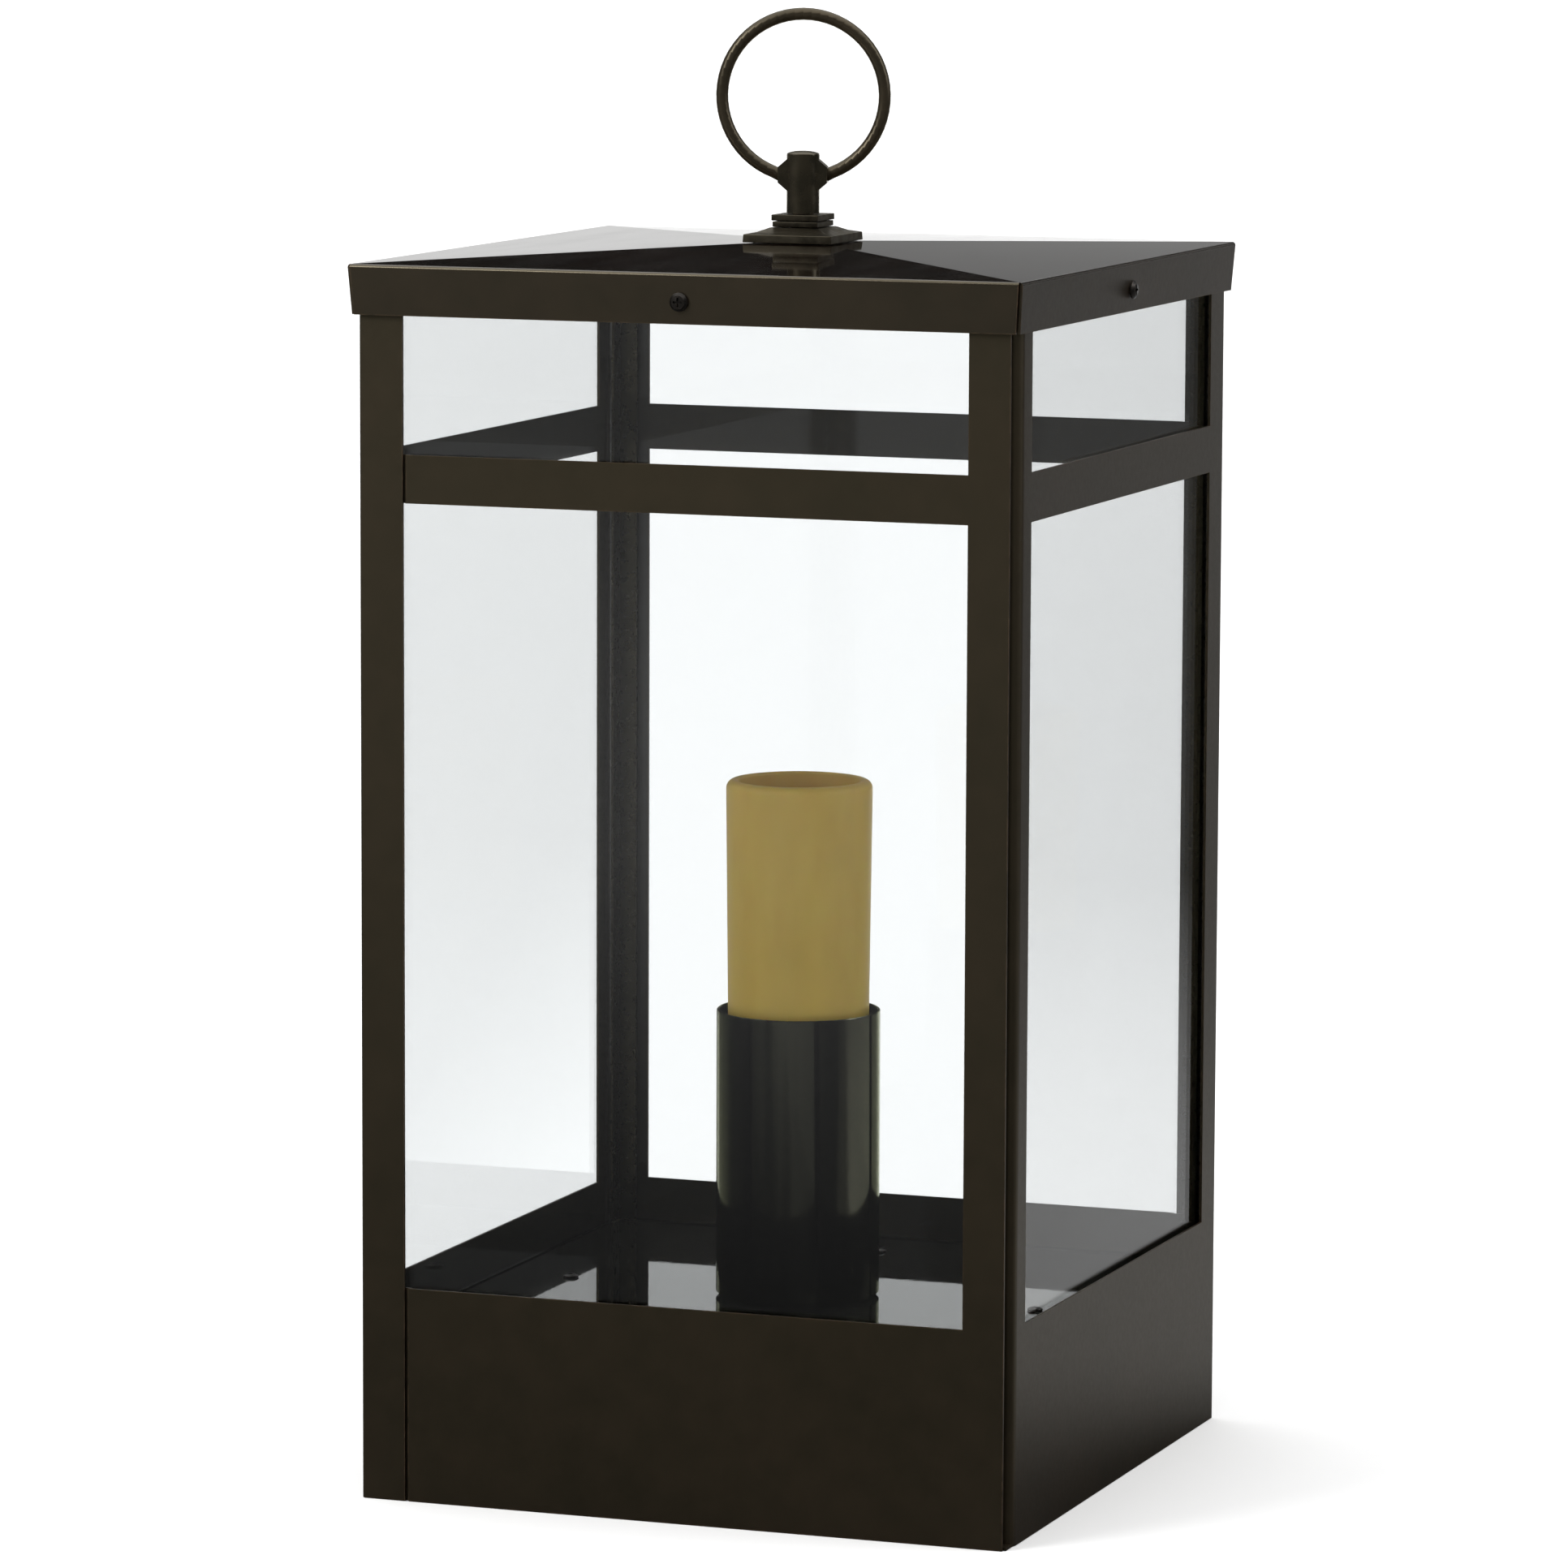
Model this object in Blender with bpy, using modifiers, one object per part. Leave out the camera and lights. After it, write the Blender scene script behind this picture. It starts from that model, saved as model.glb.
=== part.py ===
"""Candle lantern: a square sheet-metal body with glass on four sides, a low hipped roof with a
carrying ring, and a battery candle that stands in a metal cup.

Metres, +Z up. The origin is the middle of the square that the lantern stands on, +X to the
right and the front face towards -Y. The body is the same again when turned half round +Z.
"""
import math

import bmesh
import bpy
from mathutils import Matrix, Vector

# Driving dimensions.
HALF = 0.127                # half the width of the body, over its sheet
SHEET = 0.001               # body and roof sheet
GAP = 0.0003                # air between touching pieces
STILE = 0.0174              # width of the upright strips beside the windows
SKIRT_TOP = 0.0806          # top of the plain skirt, bottom of the main windows
RAIL_LOW, RAIL_HIGH = 0.3736, 0.3915
TOP_RAIL_LOW = 0.4436
BODY_TOP = 0.4599
EAVE_LOW, EAVE_HIGH = 0.4426, 0.4612
EAVE_HALF = 0.1292          # half the width of the roof over its fascia's lower edge
EAVE_LEAN = 0.0012          # how far the fascia leans out towards its top
ROOF_FLAT_HALF, ROOF_FLAT_Z = 0.0150, 0.4652
SCREW_Z = 0.4507            # height of the four roof screws

FOLD = 0.0013               # outer radius of a pressed fold
RETURN = 0.0040             # outer radius of the rolled edge at an open corner
SEAM = 0.0012               # slit between a folded flange and the next panel
LAP = 0.0080                # the next panel's lip behind that flange
CORNER_SLIT = 0.0016        # how far a flat panel stops short of an open corner

GLASS = 0.0032
GLASS_FACE = HALF - 2 * (SHEET + GAP)
GLASS_LOW, GLASS_HIGH = 0.0640, 0.4464
ANGLE_FACE = 0.1209         # outer faces of the corner angles
ANGLE_LEG = 0.0080
ANGLE_HIGH = 0.4582
PANE_HALF = 0.1205          # half the width of the front and back panes
PANE_ROLLED = 0.1155        # the side panes reach this far towards the rolled edges

FLOOR_TOP, FLOOR_SHEET = 0.0635, 0.0012
FLOOR_HALF = 0.1244
FLOOR_SCREW = 0.0930        # distance of the four floor screws from the middle

CUP_RADIUS, CUP_WALL = 0.0312, 0.0011
CUP_LOW, CUP_HIGH = FLOOR_TOP + GAP, 0.1738

SLEEVE_LOW, SLEEVE_HIGH = 0.0686, 0.2617
SLEEVE_RADIUS_LOW, SLEEVE_RADIUS_HIGH = 0.0257, 0.0278
SLEEVE_WALL, SLEEVE_THICK = 0.0046, 0.0058
SLEEVE_LEDGE = 0.2305
CASE_RADIUS, CASE_BORE = 0.0196, 0.0182
CASE_LOW, CASE_HIGH = 0.0653, 0.1300
CELL_RADIUS, CELL_OFFSET = 0.00725, 0.0076      # two AA cells side by side
CELL_LOW, CELL_HIGH = 0.0735, 0.1230

RING_RADIUS, WIRE = 0.0306, 0.0023
RING_MIDDLE = 0.5199        # height of the middle of the ring as it stands up
BOSS_Z = 0.4904             # height of the cross hole that the ring's ends turn in
RING_TURN = math.radians(15.0)
STEM_RADIUS = 0.0062

ROUND = 56                  # facets round the large turned pieces
STEM_ROUND = 32
DISC_ROUND = 40
SMALL_ROUND = 16


# ---------------------------------------------------------------- scene and materials

for leftover in list(bpy.data.objects):
    bpy.data.objects.remove(leftover)

lantern = bpy.data.collections.new("candle_lantern")
cutters = bpy.data.collections.new("cutters")
for collection in (lantern, cutters):
    bpy.context.scene.collection.children.link(collection)


def material(name, color, metallic, roughness, alpha=1.0):
    """A plain finish for one kind of piece."""
    finish = bpy.data.materials.new(name)
    finish.use_nodes = True
    shader = finish.node_tree.nodes["Principled BSDF"]
    shader.inputs["Base Color"].default_value = (*color, 1.0)
    shader.inputs["Metallic"].default_value = metallic
    shader.inputs["Roughness"].default_value = roughness
    shader.inputs["Alpha"].default_value = alpha
    finish.diffuse_color = (*color, alpha)
    return finish


BRONZE = material("bronze_paint", (0.036, 0.027, 0.019), 0.35, 0.38)
ROOF_PAINT = material("roof_paint", (0.022, 0.021, 0.020), 0.30, 0.22)
FLOOR_PAINT = material("floor_paint", (0.020, 0.018, 0.015), 0.20, 0.12)
CAST_BRONZE = material("cast_bronze", (0.034, 0.027, 0.020), 0.50, 0.42)
CUP_METAL = material("cup_metal", (0.030, 0.027, 0.021), 0.85, 0.24)
PANE = material("clear_glass", (0.93, 0.96, 0.95), 0.0, 0.02, 0.25)
WAX = material("amber_resin", (0.45, 0.30, 0.085), 0.0, 0.42)
BLACK_SCREW = material("blackened_screw", (0.018, 0.016, 0.014), 0.8, 0.34)
ZINC = material("zinc_plate", (0.55, 0.55, 0.54), 1.0, 0.35)
CASE_PLASTIC = material("ivory_plastic", (0.62, 0.54, 0.38), 0.0, 0.45)
LENS_PLASTIC = material("frosted_lens", (0.90, 0.62, 0.25), 0.0, 0.35, 0.7)
CELL_LABEL = material("cell_wrap", (0.05, 0.09, 0.13), 0.1, 0.35)
NICKEL = material("nickel_contact", (0.66, 0.64, 0.60), 1.0, 0.28)
BOARD = material("board_green", (0.03, 0.15, 0.06), 0.0, 0.5)
RED_WIRE = material("red_wire", (0.45, 0.02, 0.02), 0.0, 0.5)
BLACK_WIRE = material("black_wire", (0.02, 0.02, 0.02), 0.0, 0.5)


# ---------------------------------------------------------------- shared ways of making

def put(name, mesh, finish, home=lantern):
    """A new object of this mesh, in its collection."""
    item = bpy.data.objects.new(name, mesh)
    home.objects.link(item)
    if finish is not None:
        mesh.materials.clear()
        mesh.materials.append(finish)
    return item


def box_mesh(name, low, high):
    """An upright box between two corners."""
    shape = bmesh.new()
    bmesh.ops.create_cube(shape, size=1.0)
    middle = (Vector(low) + Vector(high)) / 2
    size = Vector(high) - Vector(low)
    for vertex in shape.verts:
        vertex.co = Vector(a * b for a, b in zip(vertex.co, size)) + middle
    mesh = bpy.data.meshes.new(name)
    shape.to_mesh(mesh)
    shape.free()
    return mesh


def rod_mesh(name, start, end, radius, radius_end=None, facets=SMALL_ROUND):
    """A rod or a taper between two points."""
    start, end = Vector(start), Vector(end)
    shape = bmesh.new()
    bmesh.ops.create_cone(shape, cap_ends=True, segments=facets, radius1=radius,
                          radius2=radius if radius_end is None else radius_end,
                          depth=(end - start).length)
    turn = (end - start).to_track_quat("Z", "Y").to_matrix().to_4x4()
    bmesh.ops.transform(shape, matrix=Matrix.Translation((start + end) / 2) @ turn,
                        verts=shape.verts)
    mesh = bpy.data.meshes.new(name)
    shape.to_mesh(mesh)
    shape.free()
    return mesh


def box(name, low, high, finish):
    return put(name, box_mesh(name, low, high), finish)


def helper(mesh, turn=0.0):
    """A shape that only cuts or joins others."""
    item = put(mesh.name, mesh, None, cutters)
    item.rotation_euler.z = turn
    item.hide_render = True
    item.display_type = "WIRE"
    return item


def combine(item, tool, operation):
    step = item.modifiers.new(tool.name, "BOOLEAN")
    step.operation = operation
    step.object = tool


def cut(item, *tools):
    for tool in tools:
        combine(item, tool, "DIFFERENCE")


def join(item, *tools):
    for tool in tools:
        combine(item, tool, "UNION")


def smooth(item, angle=35.0):
    item.data.shade_smooth()
    item.data.set_sharp_from_angle(angle=math.radians(angle))
    return item


def bake(item):
    """The mesh of an object with its modifiers applied; the object itself goes away."""
    graph = bpy.context.evaluated_depsgraph_get()
    mesh = bpy.data.meshes.new_from_object(item.evaluated_get(graph))
    shape = bmesh.new()
    shape.from_mesh(mesh)
    bmesh.ops.remove_doubles(shape, verts=shape.verts, dist=1e-6)
    shape.to_mesh(mesh)
    shape.free()
    bpy.data.objects.remove(item)
    return mesh


def turned(name, profile, finish, facets=ROUND, closed=False):
    """A lathe-turned piece: the profile is (radius, height) down its outer side."""
    shape = bmesh.new()
    points = [shape.verts.new((radius, 0.0, height)) for radius, height in profile]
    for first, second in zip(points, points[1:]):
        shape.edges.new((first, second))
    if closed:
        shape.edges.new((points[-1], points[0]))
    mesh = bpy.data.meshes.new(name)
    shape.to_mesh(mesh)
    shape.free()
    item = put(name, mesh, finish)
    spin = item.modifiers.new("turn", "SCREW")
    spin.axis = "Z"
    spin.steps = facets
    spin.render_steps = facets
    spin.use_merge_vertices = True
    spin.merge_threshold = 0.00001
    spin.use_smooth_shade = True
    return item


def arc(middle, radius, start, end, steps):
    """Points along an arc, angles in degrees."""
    points = []
    for step in range(steps + 1):
        angle = math.radians(start + (end - start) * step / steps)
        points.append((middle[0] + radius * math.cos(angle),
                       middle[1] + radius * math.sin(angle)))
    return points


def folded_sheet(name, path, low, high, finish):
    """A sheet that follows a path seen from above, anticlockwise, with its outside at the path."""
    shape = bmesh.new()
    columns = [[shape.verts.new((x, y, z)) for z in (low, high)] for x, y in path]
    for (a, b), (c, d) in zip(columns, columns[1:]):
        shape.faces.new((a, c, d, b))
    mesh = bpy.data.meshes.new(name)
    shape.to_mesh(mesh)
    shape.free()
    item = put(name, mesh, finish)
    thicken(item, SHEET)
    return item


def thicken(item, thickness):
    skin = item.modifiers.new("thickness", "SOLIDIFY")
    skin.thickness = thickness
    skin.offset = -1.0
    skin.use_even_offset = True
    skin.use_quality_normals = True


def outline(name, points, low, high, finish):
    """A flat outline seen from above, as thick as from low to high."""
    flat = bpy.data.curves.new(name, "CURVE")
    flat.dimensions = "2D"
    flat.fill_mode = "BOTH"
    flat.extrude = (high - low) / 2
    line = flat.splines.new("POLY")
    line.points.add(len(points) - 1)
    for point, (x, y) in zip(line.points, points):
        point.co = (x, y, 0.0, 1.0)
    line.use_cyclic_u = True
    drawing = bpy.data.objects.new(name, flat)
    lantern.objects.link(drawing)
    mesh = bake(drawing)
    mesh.transform(Matrix.Translation((0.0, 0.0, (low + high) / 2)))
    return put(name, mesh, finish)


def wire(name, points, radius, finish, roundness=2):
    """A round wire through some points."""
    line = bpy.data.curves.new(name, "CURVE")
    line.dimensions = "3D"
    line.bevel_depth = radius
    line.bevel_resolution = roundness
    line.use_fill_caps = True
    path = line.splines.new("POLY")
    path.points.add(len(points) - 1)
    for point, place in zip(path.points, points):
        point.co = (*place, 1.0)
    item = bpy.data.objects.new(name, line)
    lantern.objects.link(item)
    line.materials.append(finish)
    return item


def copy(name, mesh, finish, turn=0.0, place=(0.0, 0.0, 0.0)):
    """Another piece of the same mesh, turned about +Z and moved."""
    item = put(name, mesh, finish)
    item.rotation_euler.z = turn
    item.location = place
    return item


def hang(parent, *children):
    """Children keep their place and move with the parent."""
    bpy.context.view_layer.update()
    for child in children:
        child.parent = parent
        child.matrix_parent_inverse = parent.matrix_world.inverted()


def empty(name, place):
    axis = bpy.data.objects.new(name, None)
    axis.location = place
    axis.empty_display_size = 0.02
    lantern.objects.link(axis)
    return axis


SIDES = (("front", 0.0), ("right", math.pi / 2), ("back", math.pi), ("left", -math.pi / 2))
CORNERS = (("front_right", 0.0), ("back_right", math.pi / 2),
           ("back_left", math.pi), ("front_left", -math.pi / 2))


# ---------------------------------------------------------------- body panels

NOTCH = 0.0025              # half the width of the slots that the roof screws drop into
HEM = 0.0090                # width of the flange turned in along the bottom edge
notch_mesh = box_mesh("screw_notch", (-NOTCH, -EAVE_HALF, SCREW_Z - NOTCH),
                      (NOTCH, EAVE_HALF, BODY_TOP + 0.01))
notches = [helper(notch_mesh.copy(), turn) for turn in (0.0, math.pi / 2)]


def window_tools(left, right, turn):
    """Cutters for the low main window and the shallow one above the middle rail."""
    spans = ((SKIRT_TOP, RAIL_LOW), (RAIL_HIGH, TOP_RAIL_LOW))
    return [helper(box_mesh("window", (left, -HALF - 0.01, low), (right, -HALF + 0.01, high)), turn)
            for low, high in spans]


# The flat panel: on its left it steps back behind the neighbour's flange, where it is welded,
# and on its right it stops just short of the open corner.
flat_left = -HALF + STILE + SEAM
flat_right = HALF - CORNER_SLIT
lip_face = -HALF + SHEET + GAP
lip_end = flat_left - LAP
flat_panel = folded_sheet("flat_panel", [(lip_end, lip_face), (flat_left, lip_face),
                                         (flat_left, -HALF), (flat_right, -HALF)],
                          0.0, BODY_TOP, BRONZE)
hem_flat = helper(box_mesh("hem", (flat_left, -HALF + SHEET / 2, 0.0),
                           (HALF - HEM - 0.0012, -HALF + HEM, SHEET)))
join(flat_panel, hem_flat)
cut(flat_panel, *window_tools(lip_end - 0.01, HALF - STILE, 0.0), notches[0])
flat_mesh = bake(flat_panel)
copy("front_panel", flat_mesh, BRONZE)
copy("back_panel", flat_mesh, BRONZE, math.pi)

# The folded panel, drawn as the right one: rolled inwards at the open corner in front, and
# folded round the back corner into the strip beside the back windows.
roll_start = -HALF + 0.0110
folded_path = (arc((HALF - RETURN, roll_start), RETURN, -90.0, 0.0, 6)
               + arc((HALF - FOLD, HALF - FOLD), FOLD, 0.0, 90.0, 4)
               + [(HALF - STILE, HALF)])
side_panel = folded_sheet("side_panel", folded_path, 0.0, BODY_TOP, BRONZE)
hem_side = helper(box_mesh("hem", (HALF - HEM, -HALF + 0.0015, 0.0),
                           (HALF - SHEET / 2, HALF - HEM, SHEET)))
join(side_panel, hem_side)
cut(side_panel, *window_tools(-HALF + STILE + 0.0024, HALF - STILE, math.pi / 2), notches[1])
side_mesh = bake(side_panel)
copy("right_panel", side_mesh, BRONZE)
copy("left_panel", side_mesh, BRONZE, math.pi)

# Corner angles hold the glass against the panels and carry the roof frame.
near, thin = ANGLE_FACE, SHEET
angle_points = [(near, -near), (near, -near + ANGLE_LEG), (near - thin, -near + ANGLE_LEG),
                (near - thin, -near + thin), (near - ANGLE_LEG, -near + thin),
                (near - ANGLE_LEG, -near)]
angle_mesh = bake(outline("corner_angle", angle_points, FLOOR_TOP + GAP, ANGLE_HIGH, BRONZE))
for corner, turn in CORNERS:
    copy("corner_angle_" + corner, angle_mesh, BRONZE, turn)

# Panes stand on the floor plate; the side ones stop short of the rolled edges.
for side, turn in SIDES:
    left_end = -PANE_ROLLED if side in ("right", "left") else -PANE_HALF
    pane = box_mesh(side + "_glass", (left_end, -GLASS_FACE, GLASS_LOW),
                    (PANE_HALF, -GLASS_FACE + GLASS, GLASS_HIGH))
    copy(side + "_glass", pane, PANE, turn)

# Roof frame: a square ring on top of the angles, with an ear down behind each top rail.
FRAME_LOW, FRAME_HIGH = 0.4585, 0.4595
FRAME_HALF, FRAME_IN, EAR_HALF, EAR_LOW = 0.1225, 0.1120, 0.0600, 0.4470
EAR_FACE = HALF - SHEET - GAP
top_frame = box("top_frame", (-FRAME_HALF, -FRAME_HALF, FRAME_LOW),
                (FRAME_HALF, FRAME_HALF, FRAME_HIGH), BRONZE)
for side, turn in SIDES:
    join(top_frame,
         helper(box_mesh("ear", (-EAR_HALF, -EAR_FACE, FRAME_LOW),
                         (EAR_HALF, -FRAME_IN, FRAME_HIGH)), turn),
         helper(box_mesh("ear_drop", (-EAR_HALF, -EAR_FACE, EAR_LOW),
                         (EAR_HALF, -EAR_FACE + SHEET, FRAME_HIGH)), turn))
NUT_SIDE = 0.0044
nut_bay = box_mesh("nut_bay", (-NUT_SIDE, -EAR_FACE + SHEET, EAR_LOW - 0.001),
                   (NUT_SIDE, EAR_FACE - SHEET, BODY_TOP + 0.01))
cut(top_frame,
    helper(box_mesh("frame_middle", (-FRAME_IN, -FRAME_IN, FRAME_LOW - 0.01),
                    (FRAME_IN, FRAME_IN, FRAME_HIGH + 0.01))),
    *notches, *[helper(nut_bay.copy(), turn) for turn in (0.0, math.pi / 2)])


# ---------------------------------------------------------------- fasteners

def screw_mesh(name, head_radius, head_height, shank_radius, length):
    """A pan-head screw with a cross recess: its head stands on z = 0 and its shank goes down."""
    dome = [(0.0, head_height), (head_radius * 0.72, head_height * 0.86),
            (head_radius, head_height * 0.35), (head_radius, 0.0), (shank_radius, 0.0),
            (shank_radius, -length), (0.0, -length)]
    item = turned(name, dome, BLACK_SCREW, SMALL_ROUND)
    arm, deep = head_radius * 0.52, head_height * 0.45
    for turn in (0.0, math.pi / 2):
        cut(item, helper(box_mesh("recess", (-arm, -arm / 4.5, deep), (arm, arm / 4.5, 0.01)),
                         turn))
    return bake(item)


def nut_mesh(name, across, thick, hole):
    """A hexagon nut lying on z = 0."""
    prism = rod_mesh(name, (0, 0, 0), (0, 0, thick), across / math.sqrt(3), facets=6)
    item = put(name, prism, ZINC)
    cut(item, helper(rod_mesh("nut_hole", (0, 0, -0.01), (0, 0, 0.02), hole)))
    return bake(item)


def washer(name, radius, hole, low, thick, finish):
    edge = [(radius, low + thick), (radius, low), (hole, low), (hole, low + thick)]
    return turned(name, edge, finish, SMALL_ROUND, closed=True)


# ---------------------------------------------------------------- floor

SHANK = 0.0019
HOLE = SHANK + GAP
floor_plate = box("floor_plate", (-FLOOR_HALF, -FLOOR_HALF, FLOOR_TOP - FLOOR_SHEET),
                  (FLOOR_HALF, FLOOR_HALF, FLOOR_TOP), FLOOR_PAINT)
BITE_SIDE, BITE_FRONT = 0.1220, 0.1150      # the floor is notched round the rolled edges
corner_bite = box_mesh("corner_bite", (BITE_SIDE, -HALF, FLOOR_TOP - 0.01),
                       (HALF, -BITE_FRONT, FLOOR_TOP + 0.01))
cut(floor_plate, *[helper(corner_bite.copy(), turn) for turn in (0.0, math.pi)])
CUP_BOLT = 0.0029
cut(floor_plate, helper(rod_mesh("cup_hole", (0, 0, 0.05), (0, 0, 0.08), CUP_BOLT + GAP)))

BRACKET_THICK, BRACKET_HALF = 0.0015, 0.0200
BRACKET_IN, BRACKET_LOW = 0.0840, 0.0380
bracket_top = FLOOR_TOP - FLOOR_SHEET - GAP
bracket_back = HALF - SHEET - GAP
floor_screw = screw_mesh("floor_screw", 0.0030, 0.0011, SHANK, 0.010)
bracket = box("floor_bracket", (-BRACKET_HALF, -bracket_back, bracket_top - BRACKET_THICK),
              (BRACKET_HALF, -BRACKET_IN, bracket_top), BRONZE)
join(bracket, helper(box_mesh("bracket_leg", (-BRACKET_HALF, -bracket_back, BRACKET_LOW),
                              (BRACKET_HALF, -bracket_back + BRACKET_THICK, bracket_top))))
screw_hole = rod_mesh("screw_hole", (0, -FLOOR_SCREW, 0.04), (0, -FLOOR_SCREW, 0.08), HOLE)
cut(bracket, helper(screw_hole.copy()))
bracket_mesh = bake(bracket)
for side, turn in SIDES:
    cut(floor_plate, helper(screw_hole.copy(), turn))
    copy("floor_bracket_" + side, bracket_mesh, BRONZE, turn)
    spot = Matrix.Rotation(turn, 3, "Z") @ Vector((0.0, -FLOOR_SCREW, FLOOR_TOP + GAP))
    smooth(copy("floor_screw_" + side, floor_screw, BLACK_SCREW, turn + 0.6, spot))


# ---------------------------------------------------------------- candle cup

inner = CUP_RADIUS - CUP_WALL
cup_floor = CUP_LOW + 0.0012
lip = CUP_WALL / 2
CUP_FOOT, CUP_INNER_FOOT = 0.0015, 0.0008   # bevels round the bottom, outside and inside
cup_profile = ([(inner, CUP_HIGH - lip)]
               + arc((CUP_RADIUS - lip, CUP_HIGH - lip), lip, 150.0, 0.0, 4)
               + [(CUP_RADIUS, CUP_LOW + CUP_FOOT), (CUP_RADIUS - CUP_FOOT, CUP_LOW),
                  (CUP_BOLT + GAP, CUP_LOW), (CUP_BOLT + GAP, cup_floor),
                  (inner - CUP_INNER_FOOT, cup_floor), (inner, cup_floor + CUP_INNER_FOOT)])
turned("candle_cup", cup_profile, CUP_METAL, ROUND, closed=True)

cup_screw = screw_mesh("cup_screw", 0.0055, 0.0022, CUP_BOLT, 0.0130)
smooth(copy("cup_screw", cup_screw, BLACK_SCREW, 0.3, (0.0, 0.0, cup_floor + GAP)))
under_floor = FLOOR_TOP - FLOOR_SHEET - GAP
CUP_WASHER_THICK, CUP_NUT_THICK = 0.0012, 0.0045
cup_washer_low = under_floor - CUP_WASHER_THICK
washer("cup_washer", 0.0062, CUP_BOLT + GAP, cup_washer_low, CUP_WASHER_THICK, ZINC)
copy("cup_nut", nut_mesh("cup_nut", 0.0100, CUP_NUT_THICK, CUP_BOLT + GAP), ZINC,
     0.2, (0.0, 0.0, cup_washer_low - GAP - CUP_NUT_THICK))


# ---------------------------------------------------------------- roof

def roof_shape():
    """Four slopes from a small flat top, each bent down into its fascia; the corners stay open."""
    eave = EAVE_HALF + EAVE_LEAN - FOLD
    bend = arc((-eave, EAVE_HIGH - FOLD), FOLD, 90.0, 180.0, 4)
    rows = [(-ROOF_FLAT_HALF, ROOF_FLAT_Z, ROOF_FLAT_HALF)]
    rows += [(y, z, eave) for y, z in bend] + [(-EAVE_HALF, EAVE_LOW, eave - EAVE_LEAN)]
    shape = bmesh.new()
    for _, turn in SIDES:
        rotate = Matrix.Rotation(turn, 3, "Z")
        strips = [[shape.verts.new(rotate @ Vector((x * half, y, z))) for x in (-1.0, 1.0)]
                  for y, z, half in rows]
        for (a, b), (c, d) in zip(strips, strips[1:]):
            shape.faces.new((c, d, b, a))
    bmesh.ops.remove_doubles(shape, verts=shape.verts, dist=0.00001)
    top = [v for v in shape.verts if abs(v.co.z - ROOF_FLAT_Z) < 0.00001]
    top.sort(key=lambda v: math.atan2(v.co.y, v.co.x))
    shape.faces.new(top)
    mesh = bpy.data.meshes.new("roof_cap")
    shape.to_mesh(mesh)
    shape.free()
    return mesh


SPIGOT = 0.0039
roof_cap = put("roof_cap", roof_shape(), ROOF_PAINT)
thicken(roof_cap, SHEET)
fascia_hole = rod_mesh("fascia_hole", (0, -0.14, SCREW_Z), (0, 0.14, SCREW_Z), HOLE)
cut(roof_cap, helper(rod_mesh("spigot_hole", (0, 0, 0.45), (0, 0, 0.48), SPIGOT + GAP)),
    helper(fascia_hole), helper(fascia_hole.copy(), math.pi / 2))
roof_parts = [roof_cap]

ROOF_NUT_THICK = 0.0028
roof_screw = screw_mesh("roof_screw", 0.0035, 0.0018, SHANK, 0.0110)
roof_nut = nut_mesh("roof_nut", 0.0070, ROOF_NUT_THICK, HOLE)
lay_forward = Matrix.Rotation(math.pi / 2, 4, "X")
screw_place = (0.0, -EAVE_HALF - EAVE_LEAN / 2 - GAP, SCREW_Z)
nut_place = (0.0, -EAR_FACE + SHEET + GAP + ROOF_NUT_THICK, SCREW_Z)
roof_screw.transform(Matrix.Translation(screw_place) @ lay_forward)
roof_nut.transform(Matrix.Translation(nut_place) @ lay_forward
                   @ Matrix.Rotation(math.pi / 6, 4, "Z"))
for side, turn in SIDES:
    roof_parts.append(smooth(copy("roof_screw_" + side, roof_screw, BLACK_SCREW, turn)))
    roof_parts.append(copy("roof_nut_" + side, roof_nut, ZINC, turn))


# ---------------------------------------------------------------- finial and ring

BASE_LOW = ROOF_FLAT_Z + GAP
BASE_LEVELS = ((BASE_LOW, 0.0177), (0.0030 + BASE_LOW, 0.0175), (0.0038 + BASE_LOW, 0.0135),
               (0.0053 + BASE_LOW, 0.0099))
PLATE_JOINT, PLATE_TOP = 0.4734, 0.4757
spigot_hole = rod_mesh("finial_hole", (0, 0, 0.45), (0, 0, 0.49), SPIGOT + GAP)


def finial_plate(name, levels):
    """A square plate: each level is its height and half its width there."""
    shape = bmesh.new()
    square = ((-1, -1), (1, -1), (1, 1), (-1, 1))
    rings = [[shape.verts.new((x * half, y * half, height)) for x, y in square]
             for height, half in levels]
    shape.faces.new(rings[0][::-1])
    shape.faces.new(rings[-1])
    for lower, upper in zip(rings, rings[1:]):
        for k in range(4):
            shape.faces.new((lower[k], lower[k - 3], upper[k - 3], upper[k]))
    mesh = bpy.data.meshes.new(name)
    shape.to_mesh(mesh)
    shape.free()
    item = put(name, mesh, CAST_BRONZE)
    edges = item.modifiers.new("soft_edges", "BEVEL")
    edges.width = 0.0003
    edges.segments = 2
    cut(item, helper(spigot_hole.copy()))
    return item


roof_parts += [finial_plate("finial_base", BASE_LEVELS),
               finial_plate("finial_plate_lower", ((BASE_LEVELS[-1][0] + GAP, 0.0090),
                                                   (PLATE_JOINT - GAP, 0.0090))),
               finial_plate("finial_plate_upper", ((PLATE_JOINT, 0.0093), (PLATE_TOP, 0.0093)))]

stem_low, stem_high = PLATE_TOP + GAP, 0.4994
spigot_end = 0.4543
stem_profile = ([(0.0, stem_high)]
                + [(STEM_RADIUS * math.sin(math.radians(a)),
                    stem_high - 0.0014 * (1 - math.cos(math.radians(a)))) for a in (25, 45, 65, 80)]
                + [(STEM_RADIUS, stem_high - 0.0018), (STEM_RADIUS, stem_low), (SPIGOT, stem_low),
                   (SPIGOT, spigot_end + 0.0006), (SPIGOT - 0.0006, spigot_end), (0.0, spigot_end)])
stem = turned("finial_stem", stem_profile, CAST_BRONZE, STEM_ROUND)

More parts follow.
